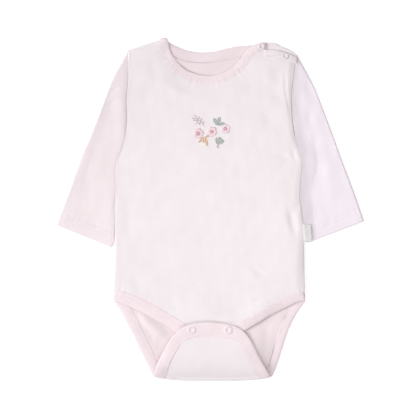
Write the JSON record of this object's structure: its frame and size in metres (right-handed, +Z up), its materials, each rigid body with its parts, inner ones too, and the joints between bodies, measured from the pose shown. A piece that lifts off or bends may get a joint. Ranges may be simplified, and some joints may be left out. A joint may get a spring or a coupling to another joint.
{
  "type": "baby onesie",
  "caption": "Long-sleeve baby bodysuit in jersey, laid flat front up, with a lapped snap shoulder and a snapped crotch flap.",
  "frame": {"origin": "centre of the bounding box in X and Y, on the surface the garment lies on", "axes": "+Z up out of the surface and out of the garment's front, +Y towards the neck, +X towards the wearer's left sleeve"},
  "size_m": [0.345, 0.3842, 0.0089],
  "materials": {
    "jersey": "pale pink cotton jersey",
    "sleeve_jersey": "pale pink cotton jersey",
    "rib": "rosier folded jersey binding",
    "snap": "satin, pale pink",
    "label": "white satin tape"
  },
  "bodies": {
    "root": {"front_panel": "jersey", "back_panel": "jersey", "right_sleeve": "sleeve_jersey", "left_sleeve": "sleeve_jersey", "shoulder_placket_front": "jersey", "shoulder_placket_back": "jersey", "neckband_front": "rib", "neckband_back": "rib", "front_leg_binding": "rib", "back_leg_binding": "rib", "crotch_snap_right": "snap", "crotch_snap_left": "snap", "shoulder_snap_neck": "snap", "shoulder_snap_arm": "snap", "side_label": "label"}
  },
  "joints": []
}
